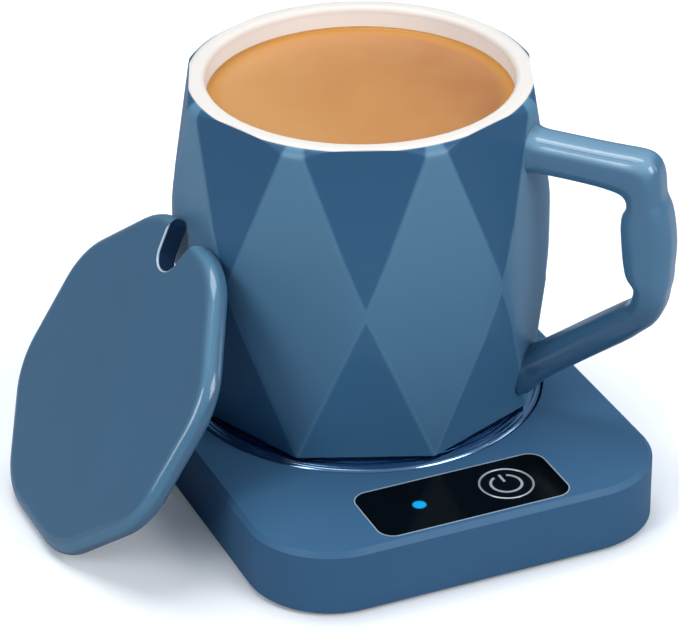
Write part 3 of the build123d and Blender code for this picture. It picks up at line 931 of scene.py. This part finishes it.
@dataclass
class MugBody(Maker):
    """Faceted mug: upright diamonds between triangles, a rounded lip and a foot ring."""

    flat: float = 0.046
    sides: int = 8
    foot: float = 0.0188
    bottom: float = 0.0198
    middle: float = 0.0642
    tip: float = 0.1124
    rim: float = 0.1077
    mouth: float = 0.039298
    inside_floor: float = 0.025
    inside_round: float = 0.010
    inside_taper: float = 0.001
    facet_cuts: int = 31
    end_margin: float = 0.0008
    edge_passes: int = 1
    corner_grow: float = 1.009
    corner_round: float = 0.015
    corner_shares: tuple[float, ...] = (1.0, 0.8, 0.6, 0.4)
    corner_passes: int = 12
    shoulder_passes: int = 4
    shoulder_top: float = 0.0009
    shoulder_width: float = 0.003
    lip_start: float = 0.0422
    lip_round: float = 0.0040
    inner_lip: float = 0.0015
    foot_radius: float = 0.038
    foot_width: float = 0.005
    foot_sides: int = 96
    lip_sides: int = 256
    wall_sides: int = 160
    spare: float = 0.001

    def build(self) -> Piece:
        """Builds the mug without its handle.

        Returns:
            The mug's body, riding on the mug.
        """
        body = self.faceted()
        combine(body, self.foot_ring(), Join.ADD)
        combine(body, self.lip_tool())
        combine(body, self.cavity())
        self.ease_shoulder(body)
        smooth(body, 35)
        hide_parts("mug")
        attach(body, "mug")
        return body

    def faceted(self) -> Piece:
        """Draws up the outside, twisting by half a side at the widest level.

        Returns:
            The closed outside, with its facet edges rounded.
        """
        half_turn = math.pi / self.sides
        grow = self.corner_grow / math.cos(half_turn)
        start, widest = self.axis + UP * self.bottom, self.axis + UP * self.middle
        body = round_start("mug_body", self.flat, self.sides, start)
        bpy.ops.mesh.edge_face_add()
        draw_out(start, UP * (self.middle - self.bottom), grow, half_turn)
        draw_out(widest, UP * (self.tip - self.middle), 1 / grow, half_turn)
        take_all()
        bpy.ops.mesh.remove_doubles(threshold=10 * TINY)
        pick(Part.FACE, lambda face: len(face.verts) == 4)
        bpy.ops.mesh.quads_convert_to_tris(quad_method="SHORTEST_DIAGONAL")
        take_all()
        bpy.ops.mesh.normals_make_consistent(inside=False)
        self.soften(widest, grow)
        take_all()
        bpy.ops.mesh.bisect(
            plane_co=self.axis + UP * self.rim, plane_no=UP, use_fill=True, clear_outer=True
        )
        put_down()
        return body

    def soften(self, widest: Vector, grow: float) -> None:
        """Divides the open facets finely, and rounds their edges and widest corners.

        Args:
            widest: The axis at the widest level.
            grow: How much wider than the foot that level is.
        """
        pick(Part.FACE, lambda face: len(face.verts) == 3)
        bpy.ops.mesh.subdivide(number_cuts=self.facet_cuts)
        low, high = self.bottom + self.end_margin, self.tip - self.end_margin
        self.ease(lambda point: low < point.co.z < high, self.edge_passes)
        step, reach = math.pi / self.sides, self.flat * grow
        turns = [step + 2 * step * number for number in range(self.sides)]
        corners = [widest + reach * Vector((math.cos(a), math.sin(a), 0)) for a in turns]
        for share in self.corner_shares:
            near = self.corner_round * share
            self.ease(lambda p: any((p.co - c).length < near for c in corners), self.corner_passes)
        belt = self.corner_round / 2
        self.ease(lambda point: abs(point.co.z - self.middle) < belt, self.edge_passes)

    def ease(self, test: Callable[[Any], bool], passes: int) -> None:
        """Smooths the open mesh's points that a test accepts."""
        pick(Part.POINT, test)
        bpy.ops.mesh.vertices_smooth(factor=0.5, repeat=passes)

    def foot_ring(self) -> Piece:
        """Builds the ring that the mug stands on, let into its bottom.

        Returns:
            The ring.
        """
        top = self.bottom + self.spare
        size = (self.foot_radius, self.foot_width, self.foot, top, self.foot_sides)
        return footing("foot_ring", self.axis, *size)

    def lip_tool(self) -> Piece:
        """What is turned away outside the rim, so that the facets run into a round lip.

        Returns:
            The ring to cut out.
        """
        outside = self.flat / math.cos(math.pi / self.sides) + self.spare
        over, level = self.rim + self.spare, self.rim - self.lip_round
        profile = arc((self.lip_start, level), self.lip_round, 0, 90, 16)
        profile += [(self.lip_start, over), (outside, over), (outside, level)]
        return lathe("lip_tool", self.axis, profile, self.lip_sides, closed=True)

    def cavity(self) -> Piece:
        """Inside of the mug as a solid, tapered towards a rounded floor.

        Returns:
            The solid to cut out.
        """
        low, r, lip = self.inside_floor, self.inside_round, self.inner_lip
        reach, over = self.mouth - self.inside_taper - r, self.rim + 10 * self.spare
        profile = [(0.0, low), *arc((reach, low + r), r, 270, 360, 10)]
        profile += arc((self.mouth + lip, self.rim - lip), lip, 180, 90, 9)
        profile += [(self.mouth + lip, over), (0.0, over)]
        return lathe("cavity", self.axis, profile, self.wall_sides, closed=False)

    def ease_shoulder(self, body: Piece) -> None:
        """Eases the shoulder below the lip.

        Args:
            body: The mug's body.
        """
        low, high = self.rim - self.lip_round, self.rim - self.shoulder_top
        reach = self.mouth + self.shoulder_width

        def on_shoulder(point: Any) -> bool:
            """Whether a point is on the shoulder's outside."""
            return low < point.co.z < high and (point.co - self.axis).xy.length > reach

        open_up(body)
        self.ease(on_shoulder, self.shoulder_passes)
        put_down()

    def finish(self) -> Finish:
        """Chooses the blue and cream glaze, and fits its pattern to the facets.

        Returns:
            The glaze.
        """
        return FacetGlaze(
            "mug_glaze", paint(53, 96, 130), 0.4, coat=0.12, coat_roughness=0.12, specular=0.2,
            centre=self.axis, rim=self.rim, middle=self.middle,
            above=self.tip - self.middle, below=self.middle - self.bottom,
            half_width=self.flat * math.tan(math.pi / self.sides), sector=2 * math.pi / self.sides,
        )


@dataclass(frozen=True)
class Station:
    """One section of the handle: where it is, how it leans and how large it is.

    The place is along the handle's direction and up, and the lean is the bar's own
    direction in degrees, 0 away from the mug and -90 straight down.
    """

    out: float
    up: float
    lean: float
    width: float
    depth: float


@dataclass
class MugHandle(Maker):
    """Loop handle: level arm, grip with finger swells, sloping arm and flared roots."""

    turn: float = -45.0
    rounding: float = 0.36
    corner_steps: int = 6

    def stations(self) -> list[Station]:
        """Sections of the handle, from its upper root round to its lower one.

        Returns:
            The sections in order.
        """
        rows = (
            (0.0420, 0.0943, 0, 13.4, 13.2),
            (0.0455, 0.0943, -1, 12.8, 12.6),
            (0.0464, 0.0943, -2, 11.9, 11.6),
            (0.0474, 0.0942, -2, 11.2, 10.8),
            (0.0490, 0.0941, -2, 11.0, 10.4),
            (0.0520, 0.0940, -2, 11.0, 10.3),
            (0.0600, 0.0936, -3, 11.0, 10.3),
            (0.0660, 0.0932, -4, 11.1, 10.6),
            (0.0705, 0.0928, -11, 11.3, 11.5),
            (0.0729, 0.0925, -23, 11.5, 12.8),
            (0.0745, 0.0918, -31, 11.6, 13.5),
            (0.0756, 0.0904, -40, 11.6, 13.1),
            (0.0761, 0.0884, -50, 11.5, 11.8),
            (0.0762, 0.0864, -61, 11.5, 10.5),
            (0.0763, 0.0850, -68, 11.5, 10.2),
            (0.0766, 0.0836, -75, 11.6, 11.5),
            (0.0767, 0.0820, -82, 11.7, 12.6),
            (0.0769, 0.0790, -87, 11.8, 13.3),
            (0.0771, 0.0765, -87, 11.8, 13.5),
            (0.0774, 0.0735, -87, 11.8, 13.5),
            (0.0775, 0.0700, -88, 11.7, 13.1),
            (0.0776, 0.0670, -90, 11.6, 12.4),
            (0.0778, 0.0644, -92, 11.5, 11.9),
            (0.0781, 0.0629, -94, 11.4, 10.9),
            (0.0785, 0.0617, -97, 11.3, 9.5),
            (0.0786, 0.0603, -99, 11.2, 8.7),
            (0.0785, 0.0586, -104, 11.2, 8.7),
            (0.0779, 0.0564, -112, 11.1, 8.6),
            (0.07715, 0.0548, -119, 11.1, 8.4),
            (0.0762, 0.0535, -125, 11.0, 8.2),
            (0.0749, 0.0524, -131, 11.0, 8.0),
            (0.07365, 0.05145, -137, 11.0, 8.1),
            (0.0720, 0.0500, -142, 11.0, 8.6),
            (0.0640, 0.0443, -143, 11.0, 8.5),
            (0.0560, 0.0384, -143, 11.0, 8.5),
            (0.0515, 0.0351, -143, 11.0, 8.6),
            (0.0492, 0.0334, -144, 11.2, 8.9),
            (0.0477, 0.0323, -145, 11.6, 9.6),
            (0.0465, 0.0314, -148, 12.3, 10.6),
            (0.0452, 0.0304, -152, 13.0, 11.6),
            (0.0425, 0.0285, -156, 13.2, 12.0),
        )
        return [Station(o, u, lean, w / 1000, d / 1000) for o, u, lean, w, d in rows]

    def build(self) -> Piece:
        """Draws the bar through its stations, and turns it to its side of the mug.

        Returns:
            The handle, riding on the mug.
        """
        upright = (0, math.pi / 2, 0)
        put_down()
        bpy.ops.mesh.primitive_plane_add(size=1.0, location=(0, 0, 0), rotation=upright)
        handle = bpy.context.object
        handle.name = handle.data.name = "mug_handle"
        settle(handle)
        open_up(handle)
        take_all()
        bpy.ops.mesh.bevel(
            offset=self.rounding, segments=self.corner_steps, affect="VERTICES", profile=0.5
        )
        stations = self.stations()
        first = stations[0]
        take_all()
        bpy.ops.transform.resize(value=(1.0, first.width, first.depth), center_override=(0, 0, 0))
        self.face(first, Vector())
        for last, here in zip(stations, stations[1:]):
            bpy.ops.mesh.extrude_region_move(TRANSFORM_OT_translate={"value": (0, 0, 0)})
            spot = Vector((last.out, 0.0, last.up))
            self.lean(last.lean, spot)
            bpy.ops.transform.resize(
                value=(1.0, here.width / last.width, here.depth / last.depth), center_override=spot
            )
            self.face(here, spot)
        close_up()
        finish_with(handle, "SUBSURF", levels=2, render_levels=2)
        pick_up(handle)
        bpy.ops.transform.rotate(
            value=-math.radians(self.turn), orient_axis="Z", center_override=(0, 0, 0)
        )
        bpy.ops.transform.translate(value=self.axis)
        settle(handle)
        smooth(handle, 60)
        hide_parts("mug")
        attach(handle, "mug")
        return handle

    def lean(self, degrees: float, spot: Vector) -> None:
        """Turns the open selection in the handle's plane, about a spot."""
        angle = math.radians(-degrees)
        bpy.ops.transform.rotate(value=angle, orient_axis="Y", center_override=spot)

    def face(self, here: Station, spot: Vector) -> None:
        """Leans the open selection, whose middle is at a spot, and moves it to a station."""
        self.lean(-here.lean, spot)
        bpy.ops.transform.translate(value=Vector((here.out, 0.0, here.up)) - spot)

    def finish(self) -> Finish:
        """Chooses a blue glaze painted lighter than the mug's, with a painted highlight on top of
        the arm and painted shade low down.

        Returns:
            The glaze.
        """
        return SidedGlaze(
            # painted light: the handle's blue is a lighter copy of the mug's glaze
            "handle_glaze", paint(82, 126, 155), 0.3, coat=1.0, specular=0.25,
            # painted highlight on the arm's top, facing the light
            facing=(-0.36, -0.43, 0.83), turned=(1.0, 0.99, 0.92, 0.6), sided=paint(122, 162, 187),
            # painted shade on the low arm
            low=paint(54, 94, 124), levels=(0.052, 0.066),
        )


@dataclass
class Drink(Maker):
    """Milk coffee a little below the rim, drawn up where it meets the wall."""

    level: float = 0.1015
    radius: float = 0.03919
    climb: float = 0.0007
    climb_shares: tuple[float, ...] = (0.35, 0.7, 1.2, 2.0, 3.2)
    fall: float = 1.6
    depth: float = 0.004
    flat_share: float = 0.7
    sides: int = 128

    def build(self) -> Piece:
        """Draws the drink's surface.

        Returns:
            The drink, riding on the mug.
        """
        low, wall = self.level - self.depth, self.radius
        profile = [(0.0, low), (wall, low), (wall, self.level + self.climb)]
        for share in self.climb_shares:
            height = self.level + self.climb * math.exp(-self.fall * share)
            profile.append((wall - share * self.climb, height))
        profile += [(wall * self.flat_share, self.level), (0.0, self.level)]
        drink = lathe("mug_drink", self.axis, profile, self.sides, closed=False)
        smooth(drink, 60)
        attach(drink, "mug")
        return drink

    def finish(self) -> Finish:
        """Coffee with milk."""
        return MilkCoffee("milk_coffee", paint(203, 137, 74), 0.3, centre=self.axis)


# ---- lid --------------------------------------------------------------------------


@dataclass
class Lid(Maker):
    """Octagonal lid with a rounded rim, a locating ring and a spoon notch, leaning."""

    flat: float = 0.043398
    sides: int = 8
    corner: float = 0.022
    thickness: float = 0.0055
    front_round: float = 0.0035
    back_round: float = 0.0016
    ring_radius: float = 0.038498
    ring_width: float = 0.0035
    ring_height: float = 0.002
    ring_break: float = 0.0115
    ring_sides: int = 128
    notch_shift: float = -0.0032
    notch_radius: float = 0.0053
    notch_middle: float = 0.036798
    notch_flare: float = 16.0
    notch_lip: float = 0.0028
    notch_edge: float = 0.0005
    wall_slope: float = 0.02
    edge_slope: float = 0.98
    spare: float = 0.001
    lean: float = 32.6
    turn: float = 0.6
    from_axis: Spot = (-0.0737634, -0.0063728, 0.0389142)

    def build(self) -> Piece:
        """Builds the lid flat, dresses it before its notch is cut, and leans it.

        Returns:
            The lid, riding on its body.
        """
        lid = self.disc()
        combine(lid, self.locating_ring(), Join.ADD)
        self.dress(lid)
        combine(lid, self.notch_tool())
        lid.matrix_world = standing(self.axis + Vector(self.from_axis), *self.directions())
        settle(lid)
        smooth(lid, 35)
        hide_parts("mug_lid")
        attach(lid, "mug_lid")
        return lid

    def outline(self, inset: float, height: float) -> list[Spot]:
        """Octagon with rounded corners.

        Args:
            inset: How far it lies inside the widest outline.
            height: Its height.

        Returns:
            Its points.
        """
        step = 360 / self.sides
        reach = (self.flat - self.corner) / math.cos(math.radians(step / 2))
        points = []
        for corner in range(self.sides):
            turn = math.radians(step / 2 + step * corner)
            centre = (reach * math.cos(turn), reach * math.sin(turn))
            points += arc(centre, self.corner - inset, step * corner, step * (corner + 1), 10)
        return [(x, y, height) for x, y in points]

    def disc(self) -> Piece:
        """Octagon with rounded corners and rims, its outer face at height 0.

        Returns:
            The disc.
        """
        front, back = self.front_round, self.back_round
        upper = arc((-front, -front), front, 90, 0, 9)
        lower = arc((-back, back - self.thickness), back, 0, -90, 9)
        return loft("lid_shell", [self.outline(-out, up) for out, up in upper + lower])

    def locating_ring(self) -> Piece:
        """Ring under the lid that sits in the mug's mouth, open round the notch.

        Returns:
            The ring.
        """
        top, low = self.spare - self.thickness, -self.thickness - self.ring_height
        size = (self.ring_radius, self.ring_width, low, top, self.ring_sides)
        ring = footing("locating_ring", Vector(), *size)
        put_down()
        bpy.ops.mesh.primitive_cube_add(size=1.0, location=(self.notch_shift, self.flat, low))
        gap = bpy.context.object
        gap.scale = (2 * self.ring_break, self.flat, 10 * self.spare)
        settle(gap)
        combine(ring, gap)
        return ring

    def notch_tool(self) -> Piece:
        """Solid of the spoon notch: a round end, straight sides and flared lips.

        Its second material slot is on the rounded edge and its third on the wall.

        Returns:
            The solid to cut out.
        """
        high, edge = 3 * self.spare, self.notch_edge
        low = -self.thickness - self.ring_height - high
        levels = [(0.0, low), *arc((edge, -edge), edge, 180, 90, 6), (edge, high)]
        tool = loft("notch_tool", [self.notch(grow, level) for grow, level in levels])
        for _ in self.glazes():
            tool.data.materials.append(None)
        open_up(tool)
        slopes = (self.wall_slope, self.edge_slope), (0.0, self.wall_slope)
        for slot, (least, most) in enumerate(slopes, start=1):
            pick(Part.FACE, lambda face: least <= abs(face.normal.z) < most)
            tool.active_material_index = slot
            bpy.ops.object.material_slot_assign()
        put_down()
        return tool

    def notch(self, grow: float, height: float) -> list[Spot]:
        """Outline of the notch, open toward the lid's rim.

        Args:
            grow: How much wider than the notch it is, on each side.
            height: Its height.

        Returns:
            Its points.
        """
        flare, r, round_end = math.radians(self.notch_flare), self.notch_lip, self.notch_radius
        throat = (round_end * math.cos(flare), self.notch_middle - round_end * math.sin(flare))
        edge = throat[0] + (self.flat - throat[1]) * math.tan(flare)
        lip = (edge + r * math.tan((math.pi / 2 - flare) / 2), self.flat - r)
        points = arc(lip, r - grow, 180 - self.notch_flare, 90, 8)
        points += [(lip[0], self.flat + r)]
        points += [(-x, y) for x, y in reversed(points)]
        start, end = 180 + self.notch_flare, 360 - self.notch_flare
        points += arc((0.0, self.notch_middle), round_end + grow, start, end, 20)
        return [(x + self.notch_shift, y, height) for x, y in points]

    def directions(self) -> tuple[Vector, Vector, Vector]:
        """Directions of the leaning lid.

        Returns:
            Across it, up it and out of its face.
        """
        lean, turn = math.radians(self.lean), math.radians(self.turn)
        toward = Vector((math.cos(turn), math.sin(turn), 0.0))
        across = Vector((math.sin(turn), -math.cos(turn), 0.0))
        normal = UP * math.sin(lean) - toward * math.cos(lean)
        return across, normal.cross(across), normal

    def glazes(self) -> tuple[Finish, Finish, Finish]:
        """Chooses the glazes: a lighter rounded rim that is partly a painted highlight, a painted
        highlight on the notch's edge and painted shade on its wall.

        Returns:
            The lid's own glaze, the edge's painted highlight and the wall's painted shade.
        """
        # the rim's lighter colour: thinner glaze over the rounding, and partly a painted highlight
        normal, rim_lighter_and_highlight = self.directions()[2], paint(80, 126, 152)
        return (
            SidedGlaze(
                "lid_glaze", paint(69, 106, 133), 0.38, coat=1.0, specular=0.25,
                facing=normal, turned=(0.97, 0.8, 0.5, 0.1), sided=rim_lighter_and_highlight,
            ),
            # painted highlight on the notch's rounded edge
            Finish("notch_painted_highlight", paint(196, 214, 226), 0.25, coat=0.5),
            # painted shade on the notch's wall
            Finish("notch_painted_shade", paint(30, 54, 82), 0.3, coat=0.3, specular=0.2),
        )

    def dress(self, piece: Piece) -> None:
        """Gives the lid its glazes, in the order of the notch tool's slots.

        Args:
            piece: The lid without its notch.
        """
        piece.data.materials.clear()
        for glaze in self.glazes():
            piece.data.materials.append(glaze.material())

    def make(self) -> None:
        """Builds the lid, which is dressed on the way, and reports it."""
        LOG.info("built %s", self.build().name)


# ---- studio -----------------------------------------------------------------------


@dataclass(frozen=True)
class Lamp:
    """A soft lamp: where it hangs, its width and height, and its power in watts."""

    name: str
    place: Spot
    size: Pair
    power: float

    def hang(self, aim: Vector) -> None:
        """Hangs the lamp.

        Args:
            aim: The point that it faces.
        """
        data = bpy.data.lights.new(self.name, "AREA")
        data.shape, data.size, data.size_y, data.energy = "RECTANGLE", *self.size, self.power
        lamp = bpy.data.objects.new(self.name, data)
        bpy.context.scene.collection.objects.link(lamp)
        turn = (aim - Vector(self.place)).to_track_quat("-Z", "Y").to_matrix().to_4x4()
        lamp.matrix_world = Matrix.Translation(self.place) @ turn


@dataclass
class Studio:
    """Camera, floor, lamps and surroundings."""

    target: Spot = (0.035649, 0.067173, 0.003151)
    distance: float = 1.01333
    azimuth: float = -23.394
    elevation: float = 29.529
    roll: float = -0.458
    focal: float = 3603.19
    picture_width: int = 679
    film_width: float = 36.0
    aim: Spot = (0.02, 0.0, 0.05)
    lamps: tuple[Lamp, ...] = (
        Lamp("front", (0.76, -1.26, 1.0), (0.8, 0.8), 12.5),
        Lamp("top", (-0.1, 0.3, 1.8), (1.0, 1.0), 16.0),
        Lamp("left", (-1.25, -0.52, 0.85), (0.4, 1.0), 8.0),
        Lamp("right", (1.3, -0.35, 0.5), (0.5, 0.5), 1.2),
    )
    floor_size: float = 6.0
    floor_drop: float = 0.00005
    floor_colour: Colour = (0.98, 0.98, 0.98, 1.0)
    floor_bounce: Colour = (0.38, 0.43, 0.50, 1.0)
    floor_glow: Pair = (0.07, 0.3)
    glow_colour: Colour = (0.84, 0.94, 1.0, 1.0)
    glow_reach: Pair = (0.07, 0.13)
    sky_low: Colour = (0.08, 0.11, 0.16, 1)
    sky_high: Colour = (0.28, 0.34, 0.42, 1)
    sky_span: Pair = (-0.1, 0.9)

    def camera(self) -> None:
        """Places the camera."""
        a, e, r = (math.radians(v) for v in (self.azimuth, self.elevation, self.roll))
        back = Vector((math.sin(a) * math.cos(e), -math.cos(a) * math.cos(e), math.sin(e)))
        right = Vector((math.cos(a), math.sin(a), 0.0))
        up = back.cross(right)
        across = right * math.cos(r) + up * math.sin(r)
        upward = up * math.cos(r) - right * math.sin(r)
        data = bpy.data.cameras.new("camera")
        data.sensor_width = self.film_width
        data.lens = self.focal * self.film_width / self.picture_width
        data.clip_start, data.clip_end = 0.05, 20.0
        camera = bpy.data.objects.new("camera", data)
        bpy.context.scene.collection.objects.link(camera)
        place = Vector(self.target) + back * self.distance
        camera.matrix_world = standing(place, across, upward, back)
        bpy.context.scene.camera = camera

    def floor(self) -> None:
        """Lays a plain white floor that keeps the shadows."""
        put_down()
        bpy.ops.mesh.primitive_plane_add(size=self.floor_size, location=(0, 0, -self.floor_drop))
        floor = bpy.context.object
        floor.name = "floor"
        material = bpy.data.materials.new("floor_white")
        material.use_nodes = True
        w = Wiring(material.node_tree)
        rays = w.node("LightPath", {}).outputs
        seen = w.math("MAXIMUM", rays["Is Camera Ray"], rays["Is Transmission Ray"])
        far = w.node("VectorMath", {0: w.place()}, operation="LENGTH").outputs["Value"]
        strength = w.math("MULTIPLY", seen, w.span(far, *self.glow_reach, *self.floor_glow))
        colour = w.blend(seen, self.floor_bounce, self.floor_colour)
        diffuse = w.node("BsdfDiffuse", {"Color": colour})
        glow = w.node("Emission", {"Color": self.glow_colour, "Strength": strength})
        both = w.node("AddShader", {0: diffuse.outputs[0], 1: glow.outputs[0]})
        w.node("OutputMaterial", {"Surface": both.outputs[0]})
        floor.data.materials.append(material)

    def lights(self) -> None:
        """Hangs the lamps and sets the surroundings."""
        for lamp in self.lamps:
            lamp.hang(Vector(self.aim))
        world = bpy.context.scene.world or bpy.data.worlds.new("surroundings")
        bpy.context.scene.world = world
        world.use_nodes = True
        w = Wiring(world.node_tree)
        height = w.split(w.node("TexCoord", {}).outputs["Generated"])[2]
        sky = w.blend(w.span(height, *self.sky_span), self.sky_low, self.sky_high)
        rays = w.node("LightPath", {}).outputs
        colour = w.blend(rays["Is Camera Ray"], sky, (1, 1, 1, 1))
        shade = w.node("Background", {"Color": colour})
        w.node("OutputWorld", {"Surface": shade.outputs[0]})

    def build(self) -> None:
        """Sets up the whole studio."""
        bpy.context.scene.view_settings.view_transform = "Standard"
        self.camera()
        self.floor()
        self.lights()


def main() -> None:
    """Builds the whole set in order."""
    logging.basicConfig(level=logging.INFO, format="%(name)s %(message)s")
    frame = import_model()
    warmer = Warmer()
    warmer.build()
    warmer.repaint(frame["nodes"])
    for maker in (MugBody(), MugHandle(), Drink(), Lid()):
        maker.make()
    Studio().build()
    put_down()


if __name__ == "__main__":
    main()
